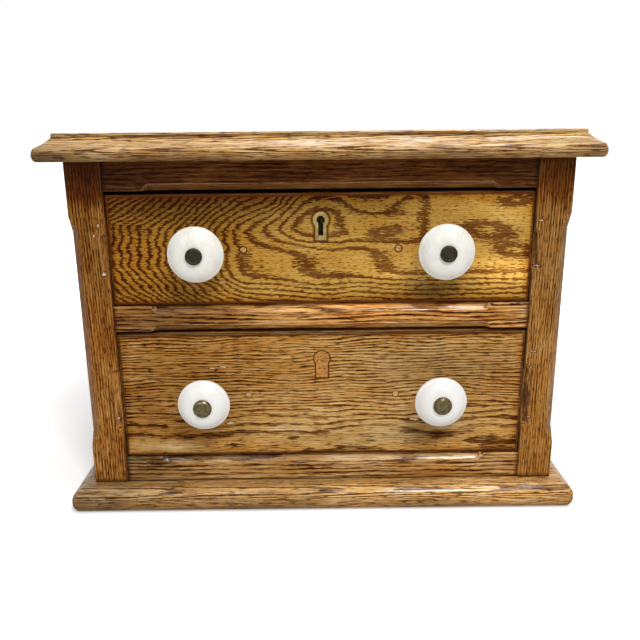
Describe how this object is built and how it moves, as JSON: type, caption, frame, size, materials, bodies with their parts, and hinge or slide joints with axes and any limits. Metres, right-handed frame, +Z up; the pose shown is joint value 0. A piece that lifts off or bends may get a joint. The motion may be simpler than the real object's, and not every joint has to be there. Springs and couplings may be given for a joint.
{
  "type": "spool cabinet",
  "caption": "Small oak chest with a moulded top and base, chamfered posts and sliding drawers with porcelain knobs, for thread spools and small parts.",
  "frame": {"origin": "on the underside of the base board, midway between the side faces and between the front faces and the back edge of the posts", "axes": "+X to the right seen from the front, the front faces -Y, +Z up"},
  "size_m": [0.4136, 0.2688, 0.302],
  "materials": {
    "case_oak": "old oak, golden-brown varnish, worn arrises",
    "front_oak": "old flat-sawn oak, golden varnish",
    "lining_wood": "bare aged softwood",
    "back_wood": "bare darkened boards",
    "patch_wood": "varnished plug wood",
    "porcelain": "white glaze, lightly crazed",
    "dark_bronze": "dull dark patina",
    "aged_brass": "aged satin brass",
    "brass": "worn pale brass",
    "steel": "dull dark steel"
  },
  "bodies": {
    "carcase": {"top_board": "case_oak", "base_board": "case_oak", "post_front_left": "case_oak", "post_front_right": "case_oak", "post_back_left": "case_oak", "post_back_right": "case_oak", "rail_front_bottom": "case_oak", "rail_front_middle": "case_oak", "rail_front_top": "case_oak", "rail_back_bottom": "lining_wood", "rail_back_middle": "lining_wood", "rail_back_top": "lining_wood", "side_rail_low_left": "case_oak", "side_rail_low_right": "case_oak", "side_rail_high_left": "case_oak", "side_rail_high_right": "case_oak", "side_panel_left": "case_oak", "side_panel_right": "case_oak", "back_board_left": "back_wood", "back_board_middle": "back_wood", "back_board_right": "back_wood", "runner_lower_left": "lining_wood", "runner_lower_right": "lining_wood", "runner_upper_left": "lining_wood", "runner_upper_right": "lining_wood", "kicker_left": "lining_wood", "kicker_right": "lining_wood", "drawer_guides": "lining_wood", "drawer_stops": "lining_wood", "top_screws": "steel", "base_screws": "steel", "back_nails": "steel"},
    "upper_drawer": {"upper_front": "front_oak", "upper_side_left": "lining_wood", "upper_side_right": "lining_wood", "upper_back": "lining_wood", "upper_bottom": "lining_wood", "upper_knob_left": "porcelain", "upper_knob_right": "porcelain", "upper_knob_bolts": "dark_bronze", "upper_knob_nuts": "steel", "upper_plugs": "patch_wood", "upper_bottom_nails": "steel", "escutcheon": "brass", "lock_plate": "brass", "lock_case": "steel", "lock_screws": "brass"},
    "lock_bolt": {"lock_bolt": "brass"},
    "lower_drawer": {"lower_front": "front_oak", "lower_side_left": "lining_wood", "lower_side_right": "lining_wood", "lower_back": "lining_wood", "lower_bottom": "lining_wood", "lower_knob_left": "porcelain", "lower_knob_right": "porcelain", "lower_knob_bolts": "aged_brass", "lower_knob_nuts": "steel", "lower_plugs": "patch_wood", "lower_bottom_nails": "steel", "keyhole_patch": "patch_wood"}
  },
  "joints": [
    {"name": "upper_drawer_slide", "type": "slide", "parent": "carcase", "child": "upper_drawer", "axis": [0, -1, 0], "range_m": [0, 0.175]},
    {"name": "lower_drawer_slide", "type": "slide", "parent": "carcase", "child": "lower_drawer", "axis": [0, -1, 0], "range_m": [0, 0.175]},
    {"name": "lock_bolt_throw", "type": "slide", "parent": "upper_drawer", "child": "lock_bolt", "axis": [0, 0, 1], "range_m": [0, 0.007]}
  ]
}
